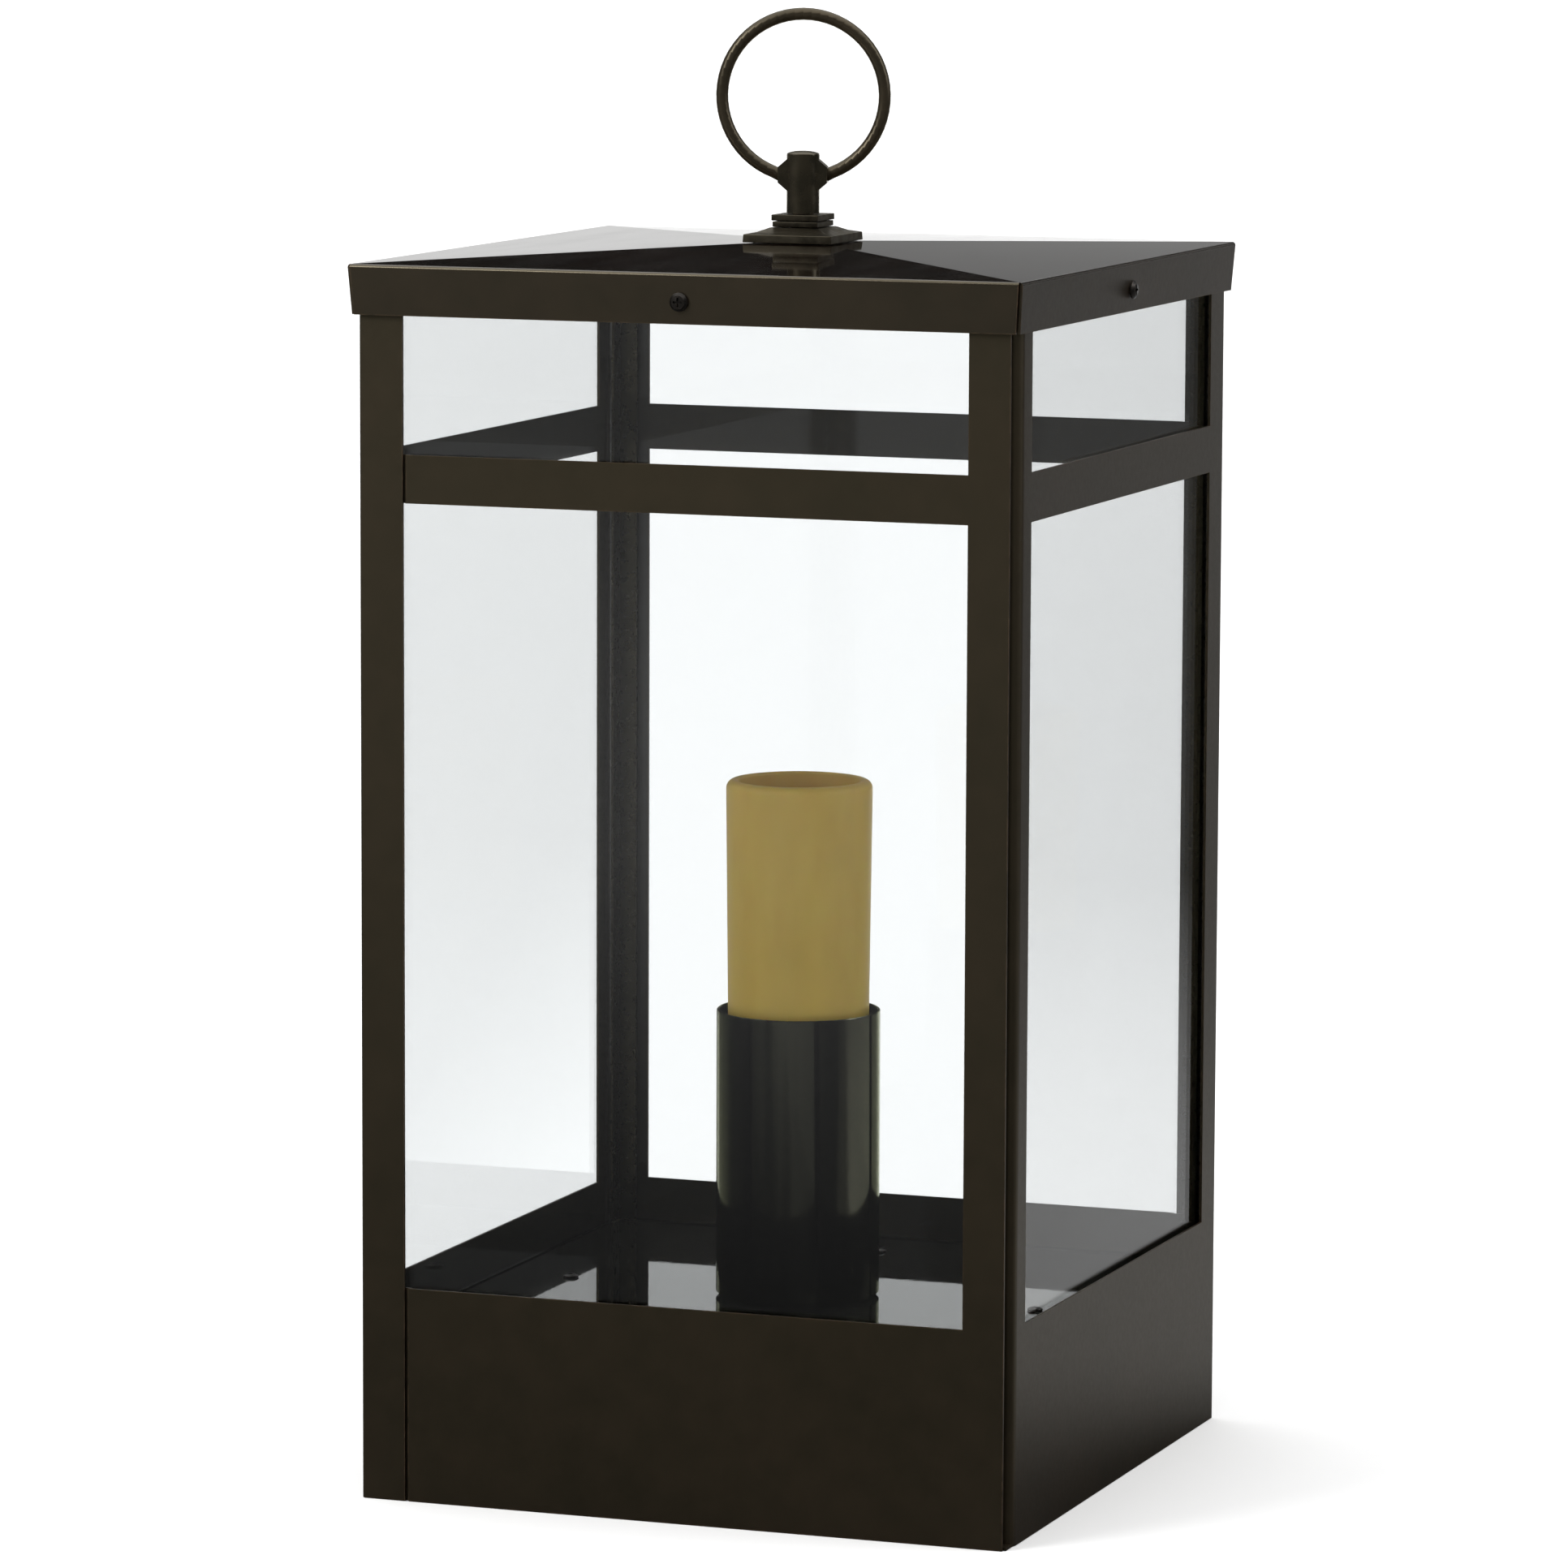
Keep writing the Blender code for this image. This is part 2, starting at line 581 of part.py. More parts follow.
# Wings on both sides of the stem carry the cross hole.
WING_REACH, WING_TIP, WING_ROOT, WING_IN, WING_THICK = 0.0093, 0.0029, 0.0066, 0.0050, 0.0070
wing_points = [(way * reach, high * height) for way, high, order in
               ((1, 1, 1), (-1, 1, -1), (-1, -1, 1), (1, -1, -1))
               for reach, height in ((WING_REACH, WING_TIP), (WING_IN, WING_ROOT))[::order]]
wing_mesh = bake(outline("wings", wing_points, -WING_THICK / 2, WING_THICK / 2, None))
wing_mesh.transform(Matrix.Translation((0.0, 0.0, BOSS_Z)) @ Matrix.Rotation(math.pi / 2, 4, "X"))
join(stem, helper(wing_mesh))
cut(stem, helper(rod_mesh("ring_hole", (-0.02, 0, BOSS_Z), (0.02, 0, BOSS_Z), WIRE + GAP)))
stem_mesh = bake(stem)
roof_parts.append(smooth(copy("finial_stem", stem_mesh, CAST_BRONZE, RING_TURN), 40.0))

WASHER_THICK, STEM_NUT_THICK = 0.0012, 0.0062
stem_washer_low = ROOF_FLAT_Z - SHEET - GAP - WASHER_THICK
stem_nut_low = stem_washer_low - GAP - STEM_NUT_THICK
roof_parts.append(washer("stem_washer", 0.0100, SPIGOT + GAP, stem_washer_low, WASHER_THICK, ZINC))
roof_parts.append(copy("stem_nut", nut_mesh("stem_nut", 0.0130, STEM_NUT_THICK, SPIGOT + GAP), ZINC,
                       0.4, (0.0, 0.0, stem_nut_low)))

# The ring is one bent wire, sprung open so that its two ends sit in the cross hole.
END_IN, END_OUT, RING_START, RING_POINTS = 0.0062, 0.0093, 0.0108, 54
start_angle = math.asin(RING_START / RING_RADIUS)
ring_route = [(-END_IN, 0.0, 0.0), (-END_OUT, 0.0, 0.0)]
for step in range(RING_POINTS + 1):
    angle = start_angle + (2 * math.pi - 2 * start_angle) * step / RING_POINTS
    ring_route.append((-RING_RADIUS * math.sin(angle), 0.0,
                       RING_MIDDLE - BOSS_Z - RING_RADIUS * math.cos(angle)))
ring_route += [(END_OUT, 0.0, 0.0), (END_IN, 0.0, 0.0)]
ring = wire("carrying_ring", ring_route, WIRE, CAST_BRONZE, 4)
ring.location = (0.0, 0.0, BOSS_Z)
ring.rotation_euler.z = RING_TURN

roof_axis = empty("roof_axis", (0.0, 0.0, BODY_TOP))
hang(roof_axis, ring, *roof_parts)


# ---------------------------------------------------------------- candle

def sleeve_radius(height):
    share = (height - SLEEVE_LOW) / (SLEEVE_HIGH - SLEEVE_LOW)
    return SLEEVE_RADIUS_LOW + share * (SLEEVE_RADIUS_HIGH - SLEEVE_RADIUS_LOW)


def wall_point(height, wall):
    return (sleeve_radius(height) - wall, height)


SHOULDER, INNER_SHOULDER = 0.0032, 0.0012
outer_rim = arc((SLEEVE_RADIUS_HIGH - SHOULDER, SLEEVE_HIGH - SHOULDER), SHOULDER, 90.0, 0.0, 5)
inner_rim = arc((SLEEVE_RADIUS_HIGH - SLEEVE_WALL + INNER_SHOULDER, SLEEVE_HIGH - INNER_SHOULDER),
                INNER_SHOULDER, 180.0, 90.0, 3)
sleeve_profile = (outer_rim + [wall_point(0.160, 0.0), wall_point(SLEEVE_LOW, 0.0),
                               wall_point(SLEEVE_LOW, SLEEVE_THICK),
                               wall_point(SLEEVE_LEDGE, SLEEVE_THICK),
                               wall_point(SLEEVE_LEDGE, SLEEVE_WALL)] + inner_rim)
candle_parts = [turned("candle_sleeve", sleeve_profile, WAX, ROUND, closed=True)]

deck_low = SLEEVE_LEDGE + GAP
deck_high = deck_low + 0.0020
deck_radius = sleeve_radius(SLEEVE_LEDGE) - SLEEVE_WALL - 0.0004
deck_profile = [(deck_radius, deck_high - 0.0004), (deck_radius, deck_low), (0.0033, deck_low),
                (0.0033, deck_high), (deck_radius - 0.0004, deck_high)]
candle_parts.append(turned("led_deck", deck_profile, CASE_PLASTIC, DISC_ROUND, closed=True))

# A flame-shaped lens over a 5 mm lamp, low enough to stay below the rim.
lens_low = deck_high + GAP
lens_height = 0.0190
flame = []
for step in range(9):
    share = 1.0 - step / 9
    radius = 0.0052 * math.sin(math.pi * (1.0 - share) ** 0.62) + 0.0046 * (1.0 - share) ** 3
    flame.append((radius, lens_low + lens_height * share))
flame += [(0.0046, lens_low), (0.0029, lens_low), (0.0029, lens_low + 0.0062), (0.0, lens_low + 0.0075)]
candle_parts.append(turned("flame_lens", flame, LENS_PLASTIC, SMALL_ROUND))

lamp_low = deck_low - 0.0028
dome_height = lens_low + 0.0055
lamp = [(0.0, dome_height), (0.0014, dome_height - 0.0004), (0.0023, dome_height - 0.0016),
        (0.0025, dome_height - 0.0028), (0.0025, lamp_low + 0.0010), (0.0029, lamp_low + 0.0010),
        (0.0029, lamp_low), (0.0, lamp_low)]
candle_parts.append(turned("led_lamp", lamp, LENS_PLASTIC, SMALL_ROUND))

board_high = lamp_low - GAP
candle_parts.append(turned("led_board", [(0.0, board_high), (0.0090, board_high),
                                         (0.0090, board_high - 0.0012), (0.0, board_high - 0.0012)],
                           BOARD, SMALL_ROUND))

# The battery case plugs into the sleeve from below; its rim is the foot of the candle.
FOOT_RADIUS, FOOT_TOP = 0.0250, SLEEVE_LOW - GAP
case_profile = [(0.0, CASE_HIGH), (CASE_RADIUS - 0.001, CASE_HIGH), (CASE_RADIUS, CASE_HIGH - 0.001),
                (CASE_RADIUS, FOOT_TOP), (FOOT_RADIUS, FOOT_TOP), (FOOT_RADIUS, CASE_LOW + 0.0005),
                (FOOT_RADIUS - 0.0005, CASE_LOW), (CASE_BORE, CASE_LOW),
                (CASE_BORE, CASE_HIGH - 0.0014), (0.0, CASE_HIGH - 0.0014)]
battery_case = turned("battery_case", case_profile, CASE_PLASTIC, ROUND)
POCKET_IN, POCKET_OUT, POCKET_HALF = 0.0195, 0.0238, 0.0045
cut(battery_case, helper(box_mesh("switch_pocket", (-POCKET_HALF, POCKET_IN, CASE_LOW - 0.01),
                                  (POCKET_HALF, POCKET_OUT, CASE_LOW + 0.0021))))
candle_parts.append(battery_case)

SWITCH_TRAVEL = 0.0030
knob_start = -POCKET_HALF + 0.0006
knob_end = POCKET_HALF - 0.0006 - SWITCH_TRAVEL
switch = box("power_switch", (knob_start, POCKET_IN + 0.0005, CASE_LOW + 0.0001),
             (knob_end, POCKET_OUT - 0.0005, CASE_LOW + 0.0017), BLACK_SCREW)
ribs = switch.modifiers.new("soft_edges", "BEVEL")
ribs.width = 0.0003
ribs.segments = 2
candle_parts.append(switch)

# The battery door turns in the mouth of the case; a coin bar crosses it.
DOOR_LOW, DOOR_HIGH, DOOR_RADIUS = 0.0688, 0.0706, 0.0178
BAR_HALF, BAR_THICK, BAR_DROP = 0.0110, 0.0012, 0.0008
battery_door = turned("battery_door", [(0.0, DOOR_HIGH), (DOOR_RADIUS, DOOR_HIGH),
                                       (DOOR_RADIUS, DOOR_LOW), (0.0, DOOR_LOW)],
                      CASE_PLASTIC, DISC_ROUND)
join(battery_door, helper(box_mesh("coin_bar", (-BAR_HALF, -BAR_THICK, DOOR_LOW - BAR_DROP),
                                   (BAR_HALF, BAR_THICK, DOOR_LOW + BAR_DROP))))
candle_parts.append(battery_door)

cell_profile = [(0.0, CELL_HIGH + 0.0010), (0.0027, CELL_HIGH + 0.0010), (0.0027, CELL_HIGH),
                (CELL_RADIUS - 0.0006, CELL_HIGH), (CELL_RADIUS, CELL_HIGH - 0.0006),
                (CELL_RADIUS, CELL_LOW + 0.0006), (CELL_RADIUS - 0.0006, CELL_LOW), (0.0, CELL_LOW)]
SPRING_WIRE, SPRING_LOW, SPRING_HIGH = 0.00025, 0.0712, 0.0729
SPRING_TURNS, SPRING_POINTS = 2, 12
for number, way in (("1", -1.0), ("2", 1.0)):
    cell = turned("battery_" + number, cell_profile, CELL_LABEL, SMALL_ROUND)
    cell.location.x = way * CELL_OFFSET
    coil = []
    for step in range(SPRING_TURNS * SPRING_POINTS + 1):
        share = step / (SPRING_TURNS * SPRING_POINTS)
        angle = 2 * math.pi * step / SPRING_POINTS
        radius = 0.0048 - 0.0022 * share
        coil.append((way * CELL_OFFSET + radius * math.cos(angle), radius * math.sin(angle),
                     SPRING_LOW + (SPRING_HIGH - SPRING_LOW) * share))
    spring = wire("contact_spring_" + number, coil, SPRING_WIRE, NICKEL, 1)
    candle_parts += [cell, spring]
candle_parts.append(box("contact_plate", (-0.0125, -0.0030, CELL_HIGH + 0.0013),
                        (0.0125, 0.0030, CELL_HIGH + 0.0018), NICKEL))

board_low = board_high - 0.0012
for name, way, finish in (("lead_wire_red", -1.0, RED_WIRE), ("lead_wire_black", 1.0, BLACK_WIRE)):
    route = []
    for step in range(15):
        share = step / 14
        swing = 0.0025 * math.sin(math.pi * 2 * share)
        route.append((way * (0.0045 + 0.002 * math.sin(math.pi * share)), way * swing,
                      CASE_HIGH + GAP + (board_low - GAP - CASE_HIGH - GAP) * share))
    candle_parts.append(wire(name, route, 0.0006, finish, 1))

candle_axis = empty("candle_axis", (0.0, 0.0, CUP_LOW))
hang(candle_axis, *candle_parts)

for name in ("roof_cap", "right_panel", "left_panel", "battery_case"):
    smooth(bpy.data.objects[name])
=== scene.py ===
"""A square metal and glass lantern with a battery candle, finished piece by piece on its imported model."""
import math

import bmesh
import bpy
from mathutils import Matrix, Vector

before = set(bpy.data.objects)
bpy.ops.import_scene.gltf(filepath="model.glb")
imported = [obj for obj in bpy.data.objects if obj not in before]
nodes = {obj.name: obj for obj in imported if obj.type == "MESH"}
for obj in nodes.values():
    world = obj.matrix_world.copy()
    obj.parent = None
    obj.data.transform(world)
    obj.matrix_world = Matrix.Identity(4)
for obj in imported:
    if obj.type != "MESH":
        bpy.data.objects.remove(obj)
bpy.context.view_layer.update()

# ---------------------------------------------------------------- the studio
# A large pale floor, a white backdrop low behind the lantern, a dim room above it and a soft ceiling
# light. The camera stands three metres away, 20 degrees to the right of the front and a little above.

CAMERA_AZIMUTH, CAMERA_ELEVATION, CAMERA_DISTANCE = 20.03, 7.48, 3.0395
CAMERA_ROLL = 0.24
CAMERA_SHIFT = (-0.0105, 0.0096)
FIELD_OF_VIEW = 11.172
SENSOR_WIDTH = 36.0
LOOK_AT = Vector((0.0, 0.0, 0.254))

camera = bpy.data.objects.new("camera", bpy.data.cameras.new("camera"))
bpy.context.scene.collection.objects.link(camera)
bpy.context.scene.camera = camera
camera.data.sensor_width = SENSOR_WIDTH
camera.data.lens = SENSOR_WIDTH / 2 / math.tan(math.radians(FIELD_OF_VIEW / 2))
camera.data.shift_x, camera.data.shift_y = CAMERA_SHIFT
camera.data.clip_end = 200.0
azimuth, elevation = math.radians(CAMERA_AZIMUTH), math.radians(CAMERA_ELEVATION)
away = Vector((math.sin(azimuth) * math.cos(elevation), -math.cos(azimuth) * math.cos(elevation),
               math.sin(elevation)))
camera.location = LOOK_AT + away * CAMERA_DISTANCE
camera.rotation_euler = (away.to_track_quat("Z", "Y").to_matrix().to_4x4()
                         @ Matrix.Rotation(math.radians(CAMERA_ROLL), 4, "Z")).to_euler()

bpy.context.scene.view_settings.view_transform = "Standard"
world = bpy.data.worlds.new("studio")
bpy.context.scene.world = world
world.use_nodes = True


def step(tree, kind, settings=None, **sockets):
    """A node with its settings; a socket gets a number, a colour or another node's output."""
    item = tree.nodes.new(kind)
    for name, value in (settings or {}).items():
        setattr(item, name, value)
    for name, value in sockets.items():
        wire_into(tree, item.inputs, name.replace("_", " "), value)
    return item


def wire_into(tree, inputs, name, value):
    """Gives one socket its value or its link; 'A', 'B' and 'C' count the sockets of a maths node."""
    socket = inputs["ABC".index(name)] if name in "ABC" and len(name) == 1 else inputs[name]
    if isinstance(value, bpy.types.NodeSocket):
        tree.links.new(value, socket)
    elif socket.type == "RGBA" and len(value) == 3:
        socket.default_value = (*value, 1.0)
    else:
        socket.default_value = value


def maths(tree, operation, *values):
    """The result of one maths node."""
    item = step(tree, "ShaderNodeMath", {"operation": operation}, **dict(zip("ABC", values)))
    return item.outputs[0]


def ramp(tree, value, *stops):
    """A colour ramp with (position, colour or grey) stops."""
    item = step(tree, "ShaderNodeValToRGB", Fac=value)
    marks = item.color_ramp.elements
    while len(marks) < len(stops):
        marks.new(1.0)
    for mark, (position, shade) in zip(marks, stops):
        mark.position = position
        mark.color = (*shade, 1.0) if isinstance(shade, tuple) else (shade, shade, shade, 1.0)
    return item.outputs["Color"]


# The backdrop stands square across the view, behind the lantern; the sides and the front are dim.
BACKDROP = (-0.342, 0.940, 0.0)
BACKDROP_SIDE, BACKDROP_FULL = 0.80, 0.92      # cosines of the angles where it ends and where it is full


def towards_backdrop(tree, direction):
    """1 towards the backdrop, falling to 0 at the sides and in front."""
    flat = step(tree, "ShaderNodeVectorMath", {"operation": "MULTIPLY"})
    tree.links.new(direction, flat.inputs[0])
    flat.inputs[1].default_value = (1.0, 1.0, 0.0)
    unit = step(tree, "ShaderNodeVectorMath", {"operation": "NORMALIZE"})
    tree.links.new(flat.outputs[0], unit.inputs[0])
    along = step(tree, "ShaderNodeVectorMath", {"operation": "DOT_PRODUCT"})
    tree.links.new(unit.outputs[0], along.inputs[0])
    along.inputs[1].default_value = BACKDROP
    return step(tree, "ShaderNodeMapRange", Value=along.outputs["Value"], From_Min=BACKDROP_SIDE,
                From_Max=BACKDROP_FULL).outputs[0]


# Upwards from the horizon, behind the lantern: white paper, its top edge, a dark wall, a strip light,
# the dark wall again and the ceiling light. Elsewhere the low part is dim.
sky = world.node_tree
sky_direction = step(sky, "ShaderNodeTexCoord").outputs["Generated"]
sky_height = step(sky, "ShaderNodeSeparateXYZ", Vector=sky_direction).outputs["Z"]
behind = ramp(sky, sky_height, (0.03, 0.40), (0.055, 0.285), (0.085, 0.105), (0.108, 0.004), (0.170, 0.004),
              (0.182, 0.54), (0.225, 0.54), (0.245, 0.02), (0.50, 0.05), (0.75, 1.0))
around = ramp(sky, sky_height, (0.02, 0.07), (0.10, 0.03), (0.50, 0.05), (0.75, 1.0))
share = towards_backdrop(sky, sky_direction)

# Straight or through a pane, the eye sees white paper low down; bounced light sees the dim parts.
path = step(sky, "ShaderNodeLightPath").outputs
turns = maths(sky, "SUBTRACT", path["Ray Depth"], path["Transmission Depth"])
seen = maths(sky, "SUBTRACT", 1.0, maths(sky, "MINIMUM", turns, 1.0))
low_sky = step(sky, "ShaderNodeMapRange", Value=sky_height, From_Min=0.25, From_Max=0.15).outputs[0]


def mix(tree, factor, low, high):
    """A colour between two others."""
    item = step(tree, "ShaderNodeMix", {"data_type": "RGBA"})
    for index, value in ((0, factor), (6, low), (7, high)):
        if isinstance(value, bpy.types.NodeSocket):
            tree.links.new(value, item.inputs[index])
        else:
            item.inputs[index].default_value = (*value, 1.0) if isinstance(value, tuple) else value
    return item.outputs[2]


ROOM_STRENGTH = 2.2
room = mix(sky, share, around, behind)
room = mix(sky, maths(sky, "MULTIPLY", seen, low_sky), room, (1.0, 1.0, 1.0))
sky.nodes["Background"].inputs["Strength"].default_value = ROOM_STRENGTH
sky.links.new(room, sky.nodes["Background"].inputs["Color"])


def softbox(name, place, target, width, height, power):
    """A large soft light that points at the lantern."""
    data = bpy.data.lights.new(name, "AREA")
    data.shape = "RECTANGLE"
    data.size, data.size_y = width, height
    data.energy = power
    lamp = bpy.data.objects.new(name, data)
    bpy.context.scene.collection.objects.link(lamp)
    lamp.location = place
    lamp.rotation_euler = (Vector(place) - Vector(target)).to_track_quat("Z", "Y").to_euler()
    lamp.visible_camera = False


LIGHT_TARGET = (0.0, 0.0, 0.2)
softbox("key_light", (-1.9, -2.2, 2.1), LIGHT_TARGET, 1.6, 1.6, 80.0)
softbox("side_light", (2.6, 0.6, 1.6), LIGHT_TARGET, 1.2, 1.8, 29.0)

# The floor is pale paper, painted a little darker round the lantern as painted shade. In reflections it is
# painted dim in front of the lantern and beside it, as under the dark parts of the room, with a painted
# shadow close round its foot, and full white behind it.
FLOOR_SIZE, FLOOR_DROP = 120.0, 0.0002
floor_mesh = bpy.data.meshes.new("studio_floor")
floor_shape = bmesh.new()
bmesh.ops.create_grid(floor_shape, x_segments=2, y_segments=2, size=FLOOR_SIZE / 2)
floor_shape.to_mesh(floor_mesh)
floor_shape.free()
studio_floor = bpy.data.objects.new("studio_floor", floor_mesh)
bpy.context.scene.collection.objects.link(studio_floor)
studio_floor.location.z = -FLOOR_DROP
paper = bpy.data.materials.new("pale_paper_with_painted_shade")
paper.use_nodes = True
tree = paper.node_tree
spot = step(tree, "ShaderNodeNewGeometry").outputs["Position"]
depth = step(tree, "ShaderNodeSeparateXYZ", Vector=spot).outputs["Y"]
reach = step(tree, "ShaderNodeVectorMath", {"operation": "LENGTH"})
tree.links.new(spot, reach.inputs[0])
FAR = 4.0
# Painted reflection shade at the sides: dark close round the lantern's foot as a painted shadow, grey from
# about 0.3 to 0.6 m, dark again beyond 1.7 m.
reflection_shade_around = ramp(tree, maths(tree, "DIVIDE", reach.outputs["Value"], FAR),
             (0.035, 0.03), (0.07, 0.34), (0.15, 0.34), (0.42, 0.03))
ahead = towards_backdrop(tree, spot)
behind_it = mix(tree, ahead, reflection_shade_around, (1.0, 1.0, 1.0))
before_it = step(tree, "ShaderNodeMapRange", Value=depth, From_Min=-0.4, From_Max=-1.8, To_Min=0.03,
                 To_Max=0.19).outputs[0]
front = step(tree, "ShaderNodeMapRange", Value=depth, From_Min=0.1, From_Max=-0.2).outputs[0]
painted_reflection_shade = mix(tree, front, behind_it, before_it)
# Only rays that have bounced off a shiny surface see the painted reflection shade; the eye and diffuse light
# see plain paper.
glossy = maths(tree, "MINIMUM", step(tree, "ShaderNodeLightPath").outputs["Glossy Depth"], 1.0)
floor_with_reflection_shade = maths(tree, "ADD", maths(tree, "MULTIPLY", painted_reflection_shade, glossy),
                   maths(tree, "SUBTRACT", 1.0, glossy))
# The paper itself is painted darker near the lantern, 0.81 within 0.4 m rising to 0.98 at 4 m: painted shade
# round the lantern.
paper_tone_and_painted_shade = step(tree, "ShaderNodeMapRange", Value=reach.outputs["Value"], From_Min=0.4, From_Max=FAR,
                  To_Min=0.81, To_Max=0.98).outputs[0]
pale = maths(tree, "MULTIPLY", floor_with_reflection_shade, paper_tone_and_painted_shade)
shader = tree.nodes["Principled BSDF"].inputs
tree.links.new(step(tree, "ShaderNodeCombineColor", Red=pale, Green=pale, Blue=pale).outputs[0],
               shader["Base Color"])
shader["Roughness"].default_value = 0.9
shader["Specular IOR Level"].default_value = 0.1
floor_mesh.materials.append(paper)


# ---------------------------------------------------------------- body panels
# Four panels of 1 mm sheet steel, folded, welded at the seams and powder-coated in a rubbed bronze.
# The coat has the fine orange peel of baked powder and faint copper-brown clouds where it was rubbed.

def effect(name, inputs, outputs):
    """A shader node group with named sockets; inputs are numbers or colours."""
    tree = bpy.data.node_groups.new(name, "ShaderNodeTree")
    for label, value in inputs.items():
        kind = "NodeSocketColor" if isinstance(value, tuple) else "NodeSocketFloat"
        socket = tree.interface.new_socket(label, in_out="INPUT", socket_type=kind)
        socket.default_value = (*value, 1.0) if isinstance(value, tuple) else value
    for label, kind in outputs.items():
        tree.interface.new_socket(label, in_out="OUTPUT", socket_type=kind)
    return tree, tree.nodes.new("NodeGroupInput").outputs, tree.nodes.new("NodeGroupOutput").inputs


def place(tree, group, **values):
    """One use of an effect in a material."""
    item = tree.nodes.new("ShaderNodeGroup")
    item.node_tree = group
    for name, value in values.items():
        wire_into(tree, item.inputs, name.replace("_", " "), value)
    return item.outputs


def noise_at(tree, coordinates, scale, detail=2.0, roughness=0.5):
    """Noise from 0 to 1; the scale is in features to the metre."""
    return step(tree, "ShaderNodeTexNoise", Vector=coordinates, Scale=scale, Detail=detail,
                Roughness=roughness).outputs["Fac"]


def stretched(tree, x=1.0, y=1.0, z=1.0):
    """Object coordinates in metres, multiplied along each axis."""
    here = step(tree, "ShaderNodeTexCoord").outputs["Object"]
    return step(tree, "ShaderNodeMapping", Vector=here, Scale=(x, y, z)).outputs["Vector"]


NUMBER = "NodeSocketFloat"

# Baked powder: a fine ripple, tiny pits, clouds a hand wide and clouds a finger wide.
powder, get, put = effect("baked_powder", {"Ripple Size": 0.0012, "Cloud Size": 0.05},
                          {"Height": NUMBER, "Clouds": NUMBER, "Fine": NUMBER})
here = stretched(powder)
ripple = noise_at(powder, here, maths(powder, "DIVIDE", 1.0, get["Ripple Size"]), 1.5, 0.4)
pits = noise_at(powder, here, 2600.0, 1.0, 0.5)
powder.links.new(maths(powder, "ADD", ripple, maths(powder, "MULTIPLY", pits, 0.12)), put["Height"])
wide = noise_at(powder, here, maths(powder, "DIVIDE", 1.0, get["Cloud Size"]), 3.0, 0.6)
finger = noise_at(powder, here, maths(powder, "DIVIDE", 4.0, get["Cloud Size"]), 2.0, 0.5)
mixed = maths(powder, "MULTIPLY_ADD", finger, 0.35, maths(powder, "MULTIPLY", wide, 0.65))
powder.links.new(step(powder, "ShaderNodeMapRange", Value=mixed, From_Min=0.36, From_Max=0.64).outputs[0],
                 put["Clouds"])
powder.links.new(noise_at(powder, here, 420.0, 3.0, 0.6), put["Fine"])

# Rubbing: the coat is thinner on edges, found where a rounded normal leaves the flat one.
rubbed, get, put = effect("rubbed_edge", {"Width": 0.0007, "Amount": 1.0}, {"Mask": NUMBER})
flat_normal = step(rubbed, "ShaderNodeNewGeometry").outputs["Normal"]
soft_normal = step(rubbed, "ShaderNodeBevel", {"samples": 4}, Radius=get["Width"]).outputs["Normal"]
agree = step(rubbed, "ShaderNodeVectorMath", {"operation": "DOT_PRODUCT"})
rubbed.links.new(flat_normal, agree.inputs[0])
rubbed.links.new(soft_normal, agree.inputs[1])
turned_away = step(rubbed, "ShaderNodeMapRange", Value=agree.outputs["Value"], From_Min=0.995,
                   From_Max=0.80).outputs[0]
wear = noise_at(rubbed, stretched(rubbed), 210.0, 3.0, 0.65)
broken = step(rubbed, "ShaderNodeMapRange", Value=wear, From_Min=0.38, From_Max=0.62).outputs[0]
rubbed.links.new(maths(rubbed, "MULTIPLY", maths(rubbed, "MULTIPLY", turned_away, broken), get["Amount"]),
                 put["Mask"])


def finish(name, roughness=0.4, metallic=0.0, **plain):
    """A material with its Principled shader; plain values go straight onto the sockets."""
    item = bpy.data.materials.new(name)
    item.use_nodes = True
    tree = item.node_tree
    shader = tree.nodes["Principled BSDF"].inputs
    shader["Metallic"].default_value = metallic
    shader["Roughness"].default_value = roughness
    for socket, value in plain.items():
        wire_into(tree, shader, socket.replace("_", " "), value)
    return item, tree, shader


def span(tree, value, low, high):
    """Stretches a 0 to 1 mask between two numbers."""
    return step(tree, "ShaderNodeMapRange", Value=value, To_Min=low, To_Max=high).outputs[0]


def bump(tree, shader, height, distance, strength):
    """Raises the surface by a height mask; the distance is in metres."""
    item = step(tree, "ShaderNodeBump", Height=height, Strength=strength, Distance=distance)
    tree.links.new(item.outputs["Normal"], shader["Normal"])


def rubbed_bronze(name, dark, warm, copper, low_rough, high_rough, edge=1.0, peel=0.000015):
    """Baked powder in two dark tones, rubbed through to copper along the edges."""
    item, tree, shader = finish(name, Specular_IOR_Level=0.74, Specular_Tint=(1.0, 0.86, 0.55))
    coat = place(tree, powder)
    edges = place(tree, rubbed, Amount=edge)
    colour = mix(tree, coat["Clouds"], dark, warm)
    colour = mix(tree, span(tree, coat["Fine"], 0.0, 0.35), colour, dark)
    colour = mix(tree, edges["Mask"], colour, copper)
    tree.links.new(colour, shader["Base Color"])
    tree.links.new(span(tree, coat["Fine"], low_rough, high_rough), shader["Roughness"])
    bump(tree, shader, coat["Height"], peel, 0.6)
    return item


